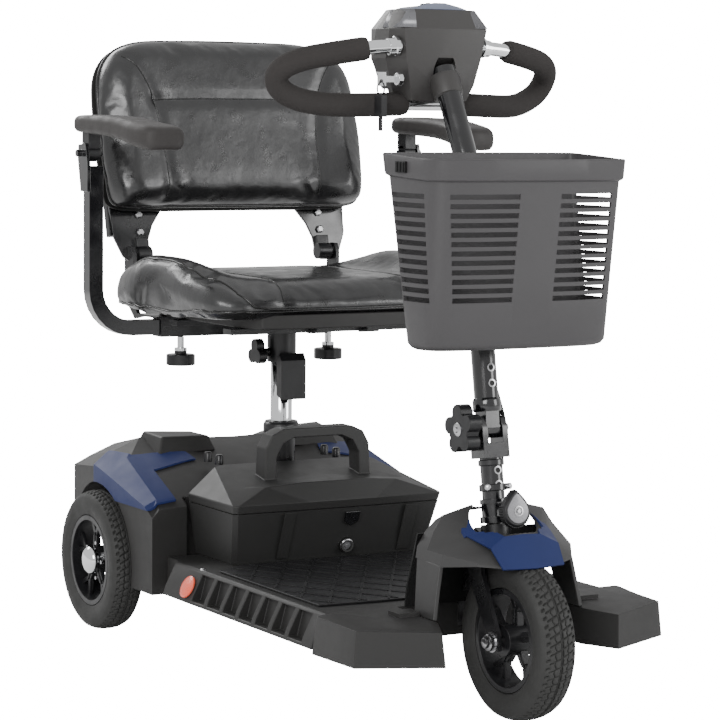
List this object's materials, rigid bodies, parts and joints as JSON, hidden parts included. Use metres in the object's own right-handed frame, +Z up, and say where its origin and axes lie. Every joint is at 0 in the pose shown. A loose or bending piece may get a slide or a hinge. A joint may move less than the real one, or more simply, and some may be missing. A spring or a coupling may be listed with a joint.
{
  "type": "mobility scooter",
  "caption": "Three-wheeled travel mobility scooter with swivel seat, armrests, looped handlebar, basket and lift-off battery box.",
  "frame": {"origin": "on the ground, under the middle of the overall length and width", "axes": "+Z up, -Y the way it drives, +X the seated rider's left"},
  "size_m": [0.574, 1.0434, 0.8988],
  "materials": {
    "body": "grained charcoal plastic",
    "shroud": "satin grey plastic",
    "mat": "moulded non-slip mat",
    "blue": "glossy blue trim",
    "basket": "satin grey plastic",
    "tyre": "solid black tyre",
    "rim": "black moulded rim",
    "frame": "black powder coat",
    "gloss": "gloss black paint",
    "motor": "black paint",
    "knob": "black moulded plastic",
    "cable": "black cable sheath",
    "cells": "dark sealed battery block",
    "chrome": "chrome plate",
    "steel": "plain steel",
    "paddle": "silver plastic",
    "foam": "dark closed-cell foam",
    "vinyl": "black grained vinyl",
    "pad": "moulded polyurethane",
    "panel": "pale silver plastic",
    "reflector": "orange-red plastic"
  },
  "bodies": {
    "chassis": {"chassis_frame": "frame", "transaxle": "steel", "drive_motor": "motor", "deck_pan": "body", "deck_mat": "mat", "reflector_left": "reflector", "reflector_right": "reflector", "bumper_left": "body", "bumper_right": "body", "front_shroud": "shroud", "fender_panel": "blue", "rear_cover": "body", "rear_panel_left": "blue", "rear_panel_right": "blue"},
    "freewheel_lever": {"freewheel_lever": "reflector"},
    "steering": {"front_fork": "frame", "lower_tiller": "gloss", "tiller_cable_lower": "cable"},
    "front_wheel": {"front_tyre": "tyre", "front_rim": "rim"},
    "stem_knob": {"stem_knob": "knob"},
    "tiller_hinge_knob": {"tiller_hinge_knob": "knob"},
    "tiller": {"upper_tiller": "gloss", "tiller_cable_upper": "cable", "tiller_head": "body", "control_panel": "panel", "handlebar": "steel", "grip_left": "foam", "grip_right": "foam"},
    "throttle_paddle": {"throttle_paddle": "paddle"},
    "speed_dial": {"speed_dial": "knob"},
    "horn_button": {"horn_button": "reflector"},
    "key": {"key": "chrome"},
    "key_ring": {"key_ring": "knob"},
    "basket": {"basket": "basket"},
    "battery_box": {"battery_case": "body", "battery_lid": "body", "battery_cells": "cells"},
    "charge_flap": {"charge_flap": "knob"},
    "seat_post": {"seat_post": "chrome"},
    "seat": {"seat_frame": "frame", "seat_pan": "body", "seat_cushion": "vinyl"},
    "post_lock_lever": {"post_lock_lever": "knob"},
    "seat_hub_knob": {"seat_hub_knob": "knob"},
    "swivel_lever": {"swivel_lever": "knob"},
    "seat_back": {"back_cushion": "vinyl", "back_frame": "body"},
    "rear_wheel_left": {"rear_tyre_left": "tyre", "rear_rim_left": "rim"},
    "anti_tip_wheel_left": {"anti_tip_wheel_left": "tyre"},
    "armrest_left": {"armrest_tube_left": "gloss"},
    "arm_pad_left": {"arm_pad_left": "pad"},
    "arm_knob_left": {"arm_knob_left": "knob"},
    "rear_wheel_right": {"rear_tyre_right": "tyre", "rear_rim_right": "rim"},
    "anti_tip_wheel_right": {"anti_tip_wheel_right": "tyre"},
    "armrest_right": {"armrest_tube_right": "gloss"},
    "arm_pad_right": {"arm_pad_right": "pad"},
    "arm_knob_right": {"arm_knob_right": "knob"}
  },
  "joints": [
    {"name": "rear_wheel_left_spin", "type": "hinge", "parent": "chassis", "child": "rear_wheel_left", "pos_m": [0.219, 0.35475, 0.1015], "axis": [1, 0, 0], "continuous": true},
    {"name": "anti_tip_wheel_left_spin", "type": "hinge", "parent": "chassis", "child": "anti_tip_wheel_left", "pos_m": [0.048, 0.49775, 0.042], "axis": [1, 0, 0], "continuous": true},
    {"name": "rear_wheel_right_spin", "type": "hinge", "parent": "chassis", "child": "rear_wheel_right", "pos_m": [-0.219, 0.35475, 0.1015], "axis": [1, 0, 0], "continuous": true},
    {"name": "anti_tip_wheel_right_spin", "type": "hinge", "parent": "chassis", "child": "anti_tip_wheel_right", "pos_m": [-0.048, 0.49775, 0.042], "axis": [1, 0, 0], "continuous": true},
    {"name": "freewheel_lift", "type": "hinge", "parent": "chassis", "child": "freewheel_lever", "pos_m": [-0.034, 0.41975, 0.092], "axis": [1, 0, 0], "range_deg": [0, 35]},
    {"name": "steer", "type": "hinge", "parent": "chassis", "child": "steering", "pos_m": [0, -0.38825, 0.1015], "axis": [0, 0.1633, 0.9866], "range_deg": [-35, 35]},
    {"name": "front_wheel_spin", "type": "hinge", "parent": "steering", "child": "front_wheel", "pos_m": [0, -0.42025, 0.1015], "axis": [1, 0, 0], "continuous": true},
    {"name": "stem_knob_turn", "type": "hinge", "parent": "steering", "child": "stem_knob", "pos_m": [0, -0.39747, 0.26014], "axis": [0, -0.9866, 0.1633], "continuous": true},
    {"name": "tiller_hinge_knob_turn", "type": "hinge", "parent": "steering", "child": "tiller_hinge_knob", "pos_m": [0, -0.34546, 0.35998], "axis": [1, 0, 0], "continuous": true},
    {"name": "tiller_fold", "type": "hinge", "parent": "steering", "child": "tiller", "pos_m": [0, -0.34546, 0.35998], "axis": [-1, 0, 0], "range_deg": [-12, 18]},
    {"name": "throttle", "type": "hinge", "parent": "tiller", "child": "throttle_paddle", "pos_m": [0, -0.16225, 0.779], "axis": [0, 0, 1], "range_deg": [-8, 8], "stiffness_Nm_per_rad": 0.4},
    {"name": "speed_dial_turn", "type": "hinge", "parent": "tiller", "child": "speed_dial", "pos_m": [0, -0.18025, 0.8938], "axis": [0, 0, 1], "range_deg": [-130, 130]},
    {"name": "horn_press", "type": "slide", "parent": "tiller", "child": "horn_button", "axis": [0, 0, -1], "range_m": [0, 0.0025], "stiffness_N_per_m": 400},
    {"name": "key_turn", "type": "hinge", "parent": "tiller", "child": "key", "pos_m": [-0.062, -0.22125, 0.799], "axis": [-1, 0, 0], "range_deg": [0, 60]},
    {"name": "key_ring_swing", "type": "hinge", "parent": "key", "child": "key_ring", "pos_m": [-0.091, -0.22125, 0.796], "axis": [0, 1, 0], "range_deg": [-25, 25]},
    {"name": "basket_lift", "type": "slide", "parent": "tiller", "child": "basket", "axis": [0, 0.1633, 0.9866], "range_m": [0, 0.04]},
    {"name": "battery_lift", "type": "slide", "parent": "chassis", "child": "battery_box", "axis": [0, 0, 1], "range_m": [0, 0.08]},
    {"name": "charge_flap_open", "type": "hinge", "parent": "battery_box", "child": "charge_flap", "pos_m": [0.02, 0.03218, 0.1996], "axis": [-1, 0, 0], "range_deg": [0, 100]},
    {"name": "seat_height", "type": "slide", "parent": "chassis", "child": "seat_post", "axis": [0, 0, 1], "range_m": [0, 0.06]},
    {"name": "seat_swivel", "type": "hinge", "parent": "seat_post", "child": "seat", "pos_m": [0, 0.21175, 0.45], "axis": [0, 0, 1], "continuous": true},
    {"name": "post_lock_squeeze", "type": "hinge", "parent": "seat", "child": "post_lock_lever", "pos_m": [0, 0.18575, 0.404], "axis": [-1, 0, 0], "range_deg": [0, 15], "stiffness_Nm_per_rad": 1.5},
    {"name": "seat_hub_knob_turn", "type": "hinge", "parent": "seat", "child": "seat_hub_knob", "pos_m": [-0.025, 0.21175, 0.41], "axis": [1, 0, 0], "continuous": true},
    {"name": "swivel_unlock", "type": "hinge", "parent": "seat", "child": "swivel_lever", "pos_m": [0.06, 0.23175, 0.438], "axis": [0, 0, 1], "range_deg": [0, 15], "stiffness_Nm_per_rad": 1},
    {"name": "backrest_fold", "type": "hinge", "parent": "seat", "child": "seat_back", "pos_m": [0, 0.36275, 0.545], "axis": [1, 0, 0], "range_deg": [0, 75]},
    {"name": "armrest_left_width", "type": "slide", "parent": "seat", "child": "armrest_left", "axis": [1, 0, 0], "range_m": [0, 0.05]},
    {"name": "arm_pad_left_flip", "type": "hinge", "parent": "armrest_left", "child": "arm_pad_left", "pos_m": [0.26, 0.30175, 0.694], "axis": [-1, 0, 0], "range_deg": [0, 95]},
    {"name": "arm_knob_left_turn", "type": "hinge", "parent": "seat", "child": "arm_knob_left", "pos_m": [0.122, 0.29375, 0.386], "axis": [0, 0, 1], "continuous": true},
    {"name": "armrest_right_width", "type": "slide", "parent": "seat", "child": "armrest_right", "axis": [-1, 0, 0], "range_m": [0, 0.05]},
    {"name": "arm_pad_right_flip", "type": "hinge", "parent": "armrest_right", "child": "arm_pad_right", "pos_m": [-0.26, 0.30175, 0.694], "axis": [-1, 0, 0], "range_deg": [0, 95]},
    {"name": "arm_knob_right_turn", "type": "hinge", "parent": "seat", "child": "arm_knob_right", "pos_m": [-0.122, 0.29375, 0.386], "axis": [0, 0, 1], "continuous": true}
  ]
}
